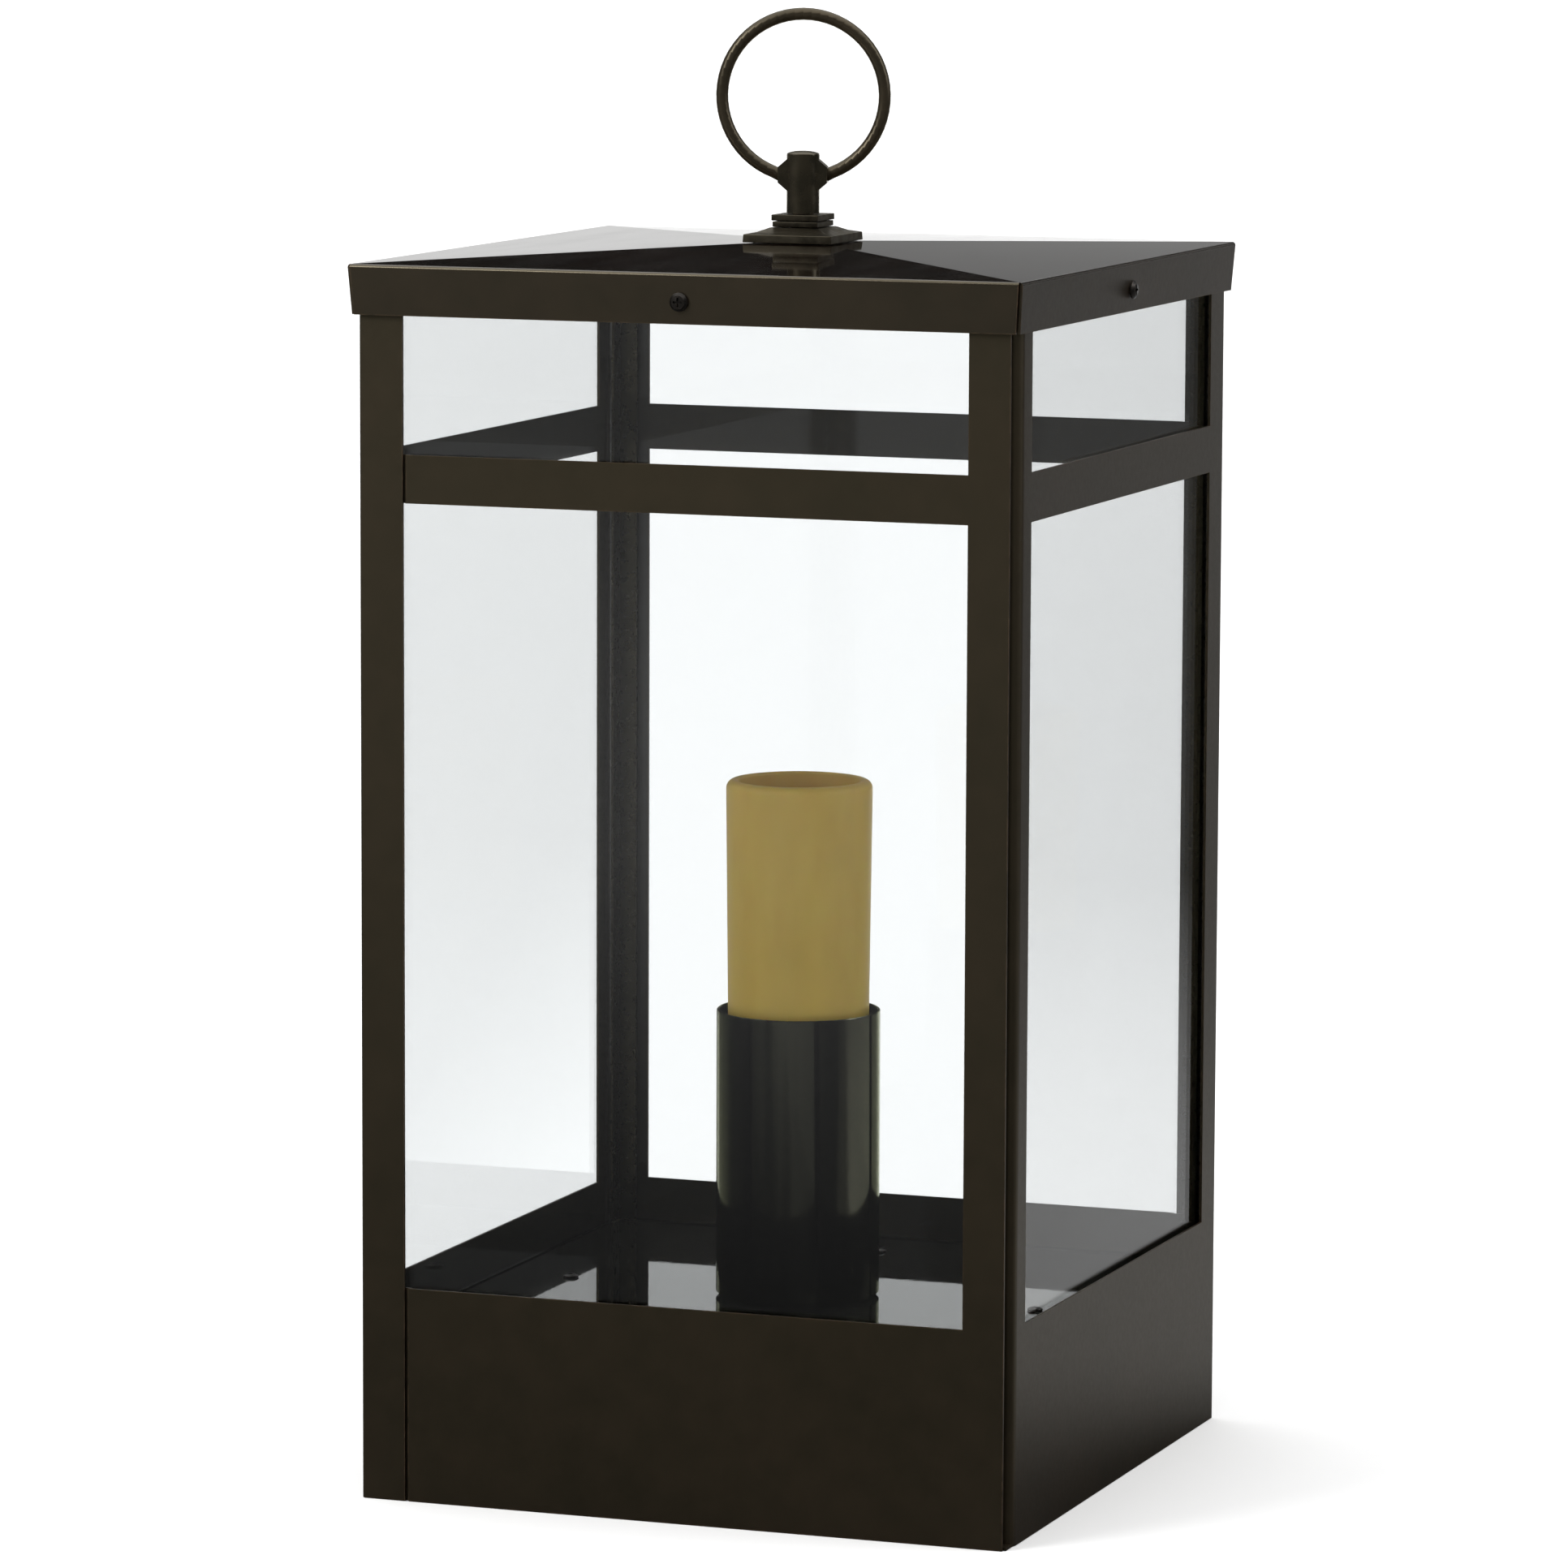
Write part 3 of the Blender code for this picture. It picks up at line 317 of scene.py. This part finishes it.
# CAD pieces come in as loose flat triangles: welding them and shading across soft angles
# gives back the smooth walls and leaves the sharp edges and the shallow ridges between flat slopes.
soften = bpy.data.node_groups.new("smooth_walls", "GeometryNodeTree")
soften.interface.new_socket("Geometry", in_out="INPUT", socket_type="NodeSocketGeometry")
soften.interface.new_socket("Geometry", in_out="OUTPUT", socket_type="NodeSocketGeometry")
source = soften.nodes.new("NodeGroupInput").outputs[0]
WELD, SOFT_ANGLE = 0.00002, math.radians(34.0)
RIDGE_LOW, RIDGE_HIGH = math.radians(1.0), math.radians(5.0)
welded = step(soften, "GeometryNodeMergeByDistance", Geometry=source, Distance=WELD).outputs[0]
plain = step(soften, "GeometryNodeRemoveAttribute", Geometry=welded, Name="custom_normal").outputs[0]
smooth = step(soften, "GeometryNodeSetShadeSmooth", Geometry=plain, Shade_Smooth=True).outputs[0]
angle = step(soften, "GeometryNodeInputMeshEdgeAngle").outputs["Unsigned Angle"]
ridge = maths(soften, "MULTIPLY", maths(soften, "GREATER_THAN", angle, RIDGE_LOW),
              maths(soften, "LESS_THAN", angle, RIDGE_HIGH))
sharp = maths(soften, "ADD", ridge, maths(soften, "GREATER_THAN", angle, SOFT_ANGLE))
creased = step(soften, "GeometryNodeSetShadeSmooth", {"domain": "EDGE"}, Geometry=smooth, Selection=sharp,
               Shade_Smooth=False).outputs[0]
soften.links.new(creased, soften.nodes.new("NodeGroupOutput").inputs[0])


def dress(material, *names):
    """Gives CAD pieces their finish and smooth walls."""
    for name in names:
        piece = nodes[name]
        piece.data.materials.clear()
        piece.data.materials.append(material)
        walls = piece.modifiers.new("smooth_walls", "NODES")
        walls.node_group = soften
        flats = piece.modifiers.new("flat_faces", "WEIGHTED_NORMAL")
        flats.keep_sharp = True


SIDES = ("front", "right", "back", "left")
CORNERS = ("front_left", "front_right", "back_left", "back_right")
body_bronze = rubbed_bronze("body_bronze", (0.0050, 0.0036, 0.0024), (0.0090, 0.0056, 0.0038),
                            (0.045, 0.025, 0.015), 0.30, 0.42)
dress(body_bronze, *[side + "_panel" for side in SIDES])


# ---------------------------------------------------------------- angles, roof frame and floor brackets
# Bent strips of the same sheet steel: four angles that clamp the panes, a square frame on top of them
# and four L-shaped brackets inside the skirt. Their coat is thinner; it is painted darker and a little
# green, as painted shade inside the lantern and a painted tint of the panes in front of them.

# The panel bronze, painted darker and greener: painted shade and painted glass tint for parts seen inside
# behind the panes.
shaded_inner_bronze = rubbed_bronze("shaded_inner_bronze", (0.0040, 0.0046, 0.0030), (0.0064, 0.0068, 0.0046),
                             (0.020, 0.018, 0.013), 0.24, 0.32, edge=0.12, peel=0.000006)
dress(shaded_inner_bronze, "top_frame", *["corner_angle_" + corner for corner in CORNERS],
      *["floor_bracket_" + side for side in SIDES])


# ---------------------------------------------------------------- glass
# Four 3.2 mm panes of window glass that stand on the floor plate between the panels and the angles.
# They are clear, with a faint cool tint and very long, very shallow waves in the surface.

glass, tree, shader = finish("clear_glass", 0.0, 0.0, Transmission_Weight=1.0, IOR=1.50,
                             Base_Color=(0.878, 0.890, 0.893))
wave = noise_at(tree, stretched(tree, z=0.5), 14.0, 1.0, 0.4)
bump(tree, shader, wave, 0.00002, 0.5)
dress(glass, *[side + "_glass" for side in SIDES])


# ---------------------------------------------------------------- floor plate
# One flat sheet of steel with a hole in the middle and four round it, laid on the brackets.
# It is stove-enamelled black and has flowed out smooth, so it mirrors the windows; fine dust lies on it.

floor_enamel, tree, shader = finish("floor_enamel", Specular_IOR_Level=0.55,
                                    Specular_Tint=(0.93, 1.0, 0.95))
coat = place(tree, powder, Ripple_Size=0.004)
tree.links.new(mix(tree, coat["Clouds"], (0.0080, 0.0085, 0.0070), (0.0115, 0.0120, 0.0100)),
               shader["Base Color"])
dusty = maths(tree, "MULTIPLY", coat["Clouds"], coat["Fine"])
tree.links.new(span(tree, dusty, 0.012, 0.070), shader["Roughness"])
bump(tree, shader, coat["Height"], 0.00002, 0.35)
dress(floor_enamel, "floor_plate")


# ---------------------------------------------------------------- black screws
# Cross-recess steel screws, chemically blackened and oiled: four small ones hold the floor plate,
# one larger one holds the cup and four hold the roof. The blacking is worn thin on the raised edges.

black_steel, tree, shader = finish("black_steel", 0.32, 0.8)
edges = place(tree, rubbed, Width=0.0003, Amount=1.0)
spots = noise_at(tree, stretched(tree), 1500.0, 3.0, 0.6)
oxide = mix(tree, spots, (0.010, 0.009, 0.008), (0.024, 0.021, 0.018))
tree.links.new(mix(tree, edges["Mask"], oxide, (0.16, 0.13, 0.10)), shader["Base Color"])
tree.links.new(span(tree, spots, 0.22, 0.42), shader["Roughness"])
bump(tree, shader, spots, 0.00001, 0.6)
dress(black_steel, "cup_screw", *["floor_screw_" + side for side in SIDES],
      *["roof_screw_" + side for side in SIDES])


# ---------------------------------------------------------------- candle cup
# A spun steel cup with a rolled lip, open at the top, bolted through its bottom to the floor plate.
# It is plated a dark gunmetal, with fine spinning lines in the plate; long upright dark and light bands are
# painted reflections.

cup_metal, tree, shader = finish("cup_metal", 0.10, 1.0, Specular_Tint=(0.90, 0.92, 0.74))
# Painted reflection: upright bands from near black to pale grey in the plate's colour stand in for what the
# polished cup mirrors.
painted_reflection_bands = noise_at(tree, stretched(tree, z=0.02), 90.0, 2.0, 0.5)
lines = noise_at(tree, stretched(tree, z=0.02), 1400.0, 2.0, 0.6)
edges = place(tree, rubbed, Width=0.0005, Amount=0.7)
plate_and_painted_reflections = ramp(tree, painted_reflection_bands, (0.36, (0.0050, 0.0050, 0.0030)), (0.50, (0.034, 0.034, 0.022)),
              (0.62, (0.130, 0.128, 0.092)))
tree.links.new(mix(tree, edges["Mask"], plate_and_painted_reflections, (0.22, 0.20, 0.17)), shader["Base Color"])
tree.links.new(span(tree, lines, 0.04, 0.13), shader["Roughness"])
bump(tree, shader, lines, 0.000006, 0.5)
dress(cup_metal, "candle_cup")


# ---------------------------------------------------------------- nuts and washers
# Turned and stamped steel with bright zinc plate: four nuts behind the roof screws, a washer and nut
# under the cup and a washer and nut under the roof. The plate has small crystals and dull patches.

zinc, tree, shader = finish("zinc_plate", 0.35, 1.0)
spot = stretched(tree)
crystal = step(tree, "ShaderNodeTexVoronoi", Vector=spot, Scale=900.0)
patches = noise_at(tree, spot, 260.0, 3.0, 0.6)
bright = mix(tree, patches, (0.42, 0.43, 0.44), (0.64, 0.64, 0.62))
tree.links.new(bright, shader["Base Color"])
dulled = span(tree, patches, 0.22, 0.38)
tree.links.new(maths(tree, "MULTIPLY_ADD", crystal.outputs["Distance"], 0.25, dulled), shader["Roughness"])
bump(tree, shader, crystal.outputs["Distance"], 0.00001, 0.4)
dress(zinc, "cup_washer", "cup_nut", "stem_washer", "stem_nut", *["roof_nut_" + side for side in SIDES])


# ---------------------------------------------------------------- roof
# One sheet of steel with four shallow slopes and a fascia folded down all round, slit at the corners.
# The slopes are sprayed and polished to a gloss; the fascia has the same powder coat as the panels.

SLOPE_LOW, SLOPE_HIGH = 0.4595, 0.4612
roof_paint, tree, shader = finish("roof_paint", Specular_IOR_Level=0.68, Specular_Tint=(1.0, 0.87, 0.60))
coat = place(tree, powder)
edges = place(tree, rubbed, Amount=0.8)
colour = mix(tree, coat["Clouds"], (0.0045, 0.0032, 0.0023), (0.0082, 0.0052, 0.0035))
tree.links.new(mix(tree, edges["Mask"], colour, (0.07, 0.040, 0.023)), shader["Base Color"])
height = step(tree, "ShaderNodeSeparateXYZ", Vector=stretched(tree)).outputs["Z"]
on_slope = step(tree, "ShaderNodeMapRange", Value=height, From_Min=SLOPE_LOW, From_Max=SLOPE_HIGH).outputs[0]
wiped = noise_at(tree, stretched(tree, y=0.25), 60.0, 2.0, 0.5)
slope_rough = span(tree, wiped, 0.02, 0.09)
fascia_rough = span(tree, coat["Fine"], 0.30, 0.42)
slope_part = maths(tree, "MULTIPLY", slope_rough, on_slope)
fascia_part = maths(tree, "MULTIPLY", fascia_rough, maths(tree, "SUBTRACT", 1.0, on_slope))
tree.links.new(maths(tree, "ADD", slope_part, fascia_part), shader["Roughness"])
calm = maths(tree, "MULTIPLY", coat["Height"], span(tree, on_slope, 1.0, 0.06))
bump(tree, shader, calm, 0.00003, 0.6)
dress(roof_paint, "roof_cap")


# ---------------------------------------------------------------- finial
# Three cast square plates and a turned stem with two wings and a cross hole, held down by one nut.
# They are cast bronze with a brown patina: fine sand grain, darker hollows and paler worn edges.

grain, get, put = effect("cast_grain", {"Grain Size": 0.0009}, {"Height": NUMBER, "Hollows": NUMBER})
here = stretched(grain)
sand = noise_at(grain, here, maths(grain, "DIVIDE", 1.0, get["Grain Size"]), 3.0, 0.65)
low_spots = noise_at(grain, here, maths(grain, "DIVIDE", 0.2, get["Grain Size"]), 2.0, 0.5)
grain.links.new(maths(grain, "MULTIPLY_ADD", low_spots, 0.5, sand), put["Height"])
grain.links.new(step(grain, "ShaderNodeMapRange", Value=low_spots, From_Min=0.35, From_Max=0.62).outputs[0],
                put["Hollows"])


def cast_patina(name, dark, pale, worn, low_rough, high_rough, grain_size):
    """Cast bronze: a dark tone and a paler one in the hollows, worn along the edges."""
    item, tree, shader = finish(name, metallic=0.3, Specular_IOR_Level=0.5, Specular_Tint=(1.0, 0.88, 0.62))
    cast = place(tree, grain, Grain_Size=grain_size)
    edges = place(tree, rubbed, Width=0.0005, Amount=0.8)
    patina = mix(tree, cast["Hollows"], dark, pale)
    tree.links.new(mix(tree, edges["Mask"], patina, worn), shader["Base Color"])
    tree.links.new(span(tree, cast["Hollows"], low_rough, high_rough), shader["Roughness"])
    bump(tree, shader, cast["Height"], 0.00004, 0.5)
    return item


cast_plates = cast_patina("cast_plates", (0.0045, 0.0040, 0.0029), (0.0080, 0.0065, 0.0047),
                          (0.040, 0.030, 0.020), 0.28, 0.44, 0.0009)
dress(cast_plates, "finial_base", "finial_plate_lower", "finial_plate_upper")
turned_stem = cast_patina("turned_stem", (0.0120, 0.0108, 0.0074), (0.0200, 0.0170, 0.0115),
                          (0.080, 0.060, 0.042), 0.20, 0.34, 0.0014)
dress(turned_stem, "finial_stem")


# ---------------------------------------------------------------- carrying ring
# One round bronze wire bent to a ring and sprung into the stem's cross hole, so that it swings.
# It has the stem's patina, polished along its length by hands.

ring_wire, tree, shader = finish("ring_wire", metallic=0.4, Specular_IOR_Level=0.6,
                                 Specular_Tint=(1.0, 0.88, 0.62))
cast = place(tree, grain, Grain_Size=0.0016)
handled = noise_at(tree, stretched(tree), 45.0, 3.0, 0.6)
patina = mix(tree, cast["Hollows"], (0.0170, 0.0140, 0.0090), (0.0280, 0.0220, 0.0140))
polished = span(tree, handled, -0.4, 1.0)
tree.links.new(mix(tree, polished, patina, (0.034, 0.025, 0.017)), shader["Base Color"])
tree.links.new(span(tree, handled, 0.42, 0.20), shader["Roughness"])
bump(tree, shader, cast["Height"], 0.00002, 0.5)
dress(ring_wire, "carrying_ring")


# ---------------------------------------------------------------- candle sleeve
# A moulded amber resin pillar, hollow, with a soft rolled shoulder and a slight taper to the foot.
# Light soaks a few millimetres into it; flow in the mould left long faint clouds and a satin skin.

resin, tree, shader = finish("amber_resin", 0.42, 0.0, Subsurface_Weight=0.35, Subsurface_Scale=1.0,
                             Subsurface_Radius=(0.012, 0.007, 0.003))
spot = stretched(tree, z=0.35)
flow = noise_at(tree, spot, 55.0, 3.0, 0.5)
skin = noise_at(tree, stretched(tree), 700.0, 2.0, 0.5)
tree.links.new(mix(tree, span(tree, flow, -0.5, 1.5), (0.57, 0.385, 0.058), (0.68, 0.48, 0.090)),
               shader["Base Color"])
tree.links.new(span(tree, flow, 0.36, 0.50), shader["Roughness"])
bump(tree, shader, skin, 0.00002, 0.4)
dress(resin, "candle_sleeve")


# ---------------------------------------------------------------- deck, battery case and door
# Moulded ivory plastic: a disc under the candle's hollow top, a tube with a closed end for the cells
# and the round door in its mouth. The mould was spark-finished, which gives a fine even grain.

mould, get, put = effect("moulded_skin", {"Grain Size": 0.0004}, {"Height": NUMBER, "Tone": NUMBER})
here = stretched(mould)
eroded = step(mould, "ShaderNodeTexVoronoi", Vector=here,
              Scale=maths(mould, "DIVIDE", 1.0, get["Grain Size"])).outputs["Distance"]
mould.links.new(eroded, put["Height"])
mould.links.new(noise_at(mould, here, 70.0, 3.0, 0.55), put["Tone"])


def plastic(name, dark, pale, low_rough, high_rough, grain_size=0.0004, depth=0.00001, **plain):
    """Moulded plastic with the grain of its mould and two close tones."""
    item, tree, shader = finish(name, **plain)
    skin = place(tree, mould, Grain_Size=grain_size)
    tree.links.new(mix(tree, skin["Tone"], dark, pale), shader["Base Color"])
    tree.links.new(span(tree, skin["Tone"], low_rough, high_rough), shader["Roughness"])
    bump(tree, shader, skin["Height"], depth, 0.5)
    return item


ivory = plastic("ivory_plastic", (0.57, 0.48, 0.32), (0.66, 0.57, 0.40), 0.38, 0.52)
dress(ivory, "led_deck", "battery_case", "battery_door")


# ---------------------------------------------------------------- flame lens and lamp
# A frosted amber acrylic lens shaped like a small flame stands on the deck over a 5 mm lamp.
# The lamp is clear warm-tinted epoxy; both were moulded, the lens with a finely etched surface.

frosted = plastic("frosted_lens", (0.88, 0.55, 0.20), (0.93, 0.64, 0.27), 0.32, 0.44, 0.0003,
                  Subsurface_Weight=0.6, Subsurface_Radius=(0.004, 0.002, 0.001), Subsurface_Scale=1.0)
dress(frosted, "flame_lens")
epoxy = plastic("lamp_epoxy", (0.86, 0.74, 0.42), (0.92, 0.82, 0.52), 0.06, 0.14, 0.0010, 0.000003,
                Subsurface_Weight=0.5, Subsurface_Radius=(0.003, 0.002, 0.001), Subsurface_Scale=1.0)
dress(epoxy, "led_lamp")


# ---------------------------------------------------------------- circuit board and leads
# A round glass-fibre board under the lamp, with green solder mask over copper tracks.
# Two leads in smooth red and black vinyl run from it down to the battery case.

TRACK_PITCH = 0.0026
board, tree, shader = finish("green_board", 0.4, 0.0, Specular_IOR_Level=0.5)
spot = stretched(tree)
weave = noise_at(tree, spot, 1800.0, 2.0, 0.5)
across = step(tree, "ShaderNodeTexWave", {"bands_direction": "DIAGONAL"}, Vector=spot,
              Scale=1.0 / TRACK_PITCH / 6.0, Distortion=2.0).outputs["Fac"]
tracks = step(tree, "ShaderNodeMapRange", Value=across, From_Min=0.62, From_Max=0.70).outputs[0]
mask_green = mix(tree, weave, (0.010, 0.085, 0.030), (0.018, 0.120, 0.045))
tree.links.new(mix(tree, tracks, mask_green, (0.045, 0.210, 0.075)), shader["Base Color"])
tree.links.new(span(tree, weave, 0.28, 0.46), shader["Roughness"])
bump(tree, shader, tracks, 0.00003, 0.5)
dress(board, "led_board")
red_vinyl = plastic("red_vinyl", (0.40, 0.012, 0.012), (0.50, 0.025, 0.020), 0.30, 0.45, 0.0006)
black_vinyl = plastic("black_vinyl", (0.012, 0.012, 0.012), (0.022, 0.022, 0.022), 0.30, 0.45, 0.0006)
dress(red_vinyl, "lead_wire_red")
dress(black_vinyl, "lead_wire_black")


# ---------------------------------------------------------------- switch
# A small black slider in a pocket under the battery case, which turns the candle on and off.
# It is moulded plastic with fine cross ribs for a fingertip.

RIB_PITCH = 0.0007
slider, tree, shader = finish("switch_slider", 0.5, 0.0)
skin = place(tree, mould)
ribs = step(tree, "ShaderNodeTexWave", {"bands_direction": "X"}, Vector=stretched(tree),
            Scale=math.pi / 10.0 / RIB_PITCH).outputs["Fac"]
tree.links.new(mix(tree, skin["Tone"], (0.012, 0.012, 0.012), (0.024, 0.024, 0.023)), shader["Base Color"])
tree.links.new(span(tree, skin["Tone"], 0.40, 0.55), shader["Roughness"])
bump(tree, shader, maths(tree, "MULTIPLY_ADD", skin["Height"], 0.1, ribs), 0.00015, 0.8)
dress(slider, "power_switch")


# ---------------------------------------------------------------- cells
# Two AA cells side by side in plain wrap: dark blue with a copper band at the top.
# The wrap stops short of the steel ends, which are bright nickel.

CELL_FOOT, CELL_BAND, CELL_SHOULDER = 0.0742, 0.1130, 0.1222
wrap, tree, shader = finish("cell_wrap")
spot = stretched(tree)
height = step(tree, "ShaderNodeSeparateXYZ", Vector=spot).outputs["Z"]
print_grain = noise_at(tree, spot, 900.0, 2.0, 0.6)
ink = mix(tree, print_grain, (0.012, 0.028, 0.060), (0.020, 0.042, 0.085))
band = maths(tree, "GREATER_THAN", height, CELL_BAND)
colour = mix(tree, band, ink, (0.52, 0.24, 0.10))
bare = maths(tree, "ADD", maths(tree, "GREATER_THAN", height, CELL_SHOULDER),
             maths(tree, "LESS_THAN", height, CELL_FOOT))
tree.links.new(mix(tree, bare, colour, (0.60, 0.58, 0.54)), shader["Base Color"])
tree.links.new(maths(tree, "MAXIMUM", bare, maths(tree, "MULTIPLY", band, 0.6)), shader["Metallic"])
tree.links.new(span(tree, print_grain, 0.24, 0.38), shader["Roughness"])
bump(tree, shader, print_grain, 0.000005, 0.5)
dress(wrap, "battery_1", "battery_2")


# ---------------------------------------------------------------- springs and contact plate
# Two conical springs of nickel-plated steel wire press on the cells from below; a stamped nickel
# strip joins their tops. Drawing and rolling left fine lines along the metal.

nickel, tree, shader = finish("nickel_contact", metallic=1.0)
spot = stretched(tree, y=8.0)
drawn = noise_at(tree, spot, 500.0, 3.0, 0.6)
tree.links.new(mix(tree, drawn, (0.58, 0.55, 0.50), (0.72, 0.70, 0.65)), shader["Base Color"])
tree.links.new(span(tree, drawn, 0.18, 0.36), shader["Roughness"])
bump(tree, shader, drawn, 0.000005, 0.5)
dress(nickel, "contact_spring_1", "contact_spring_2", "contact_plate")
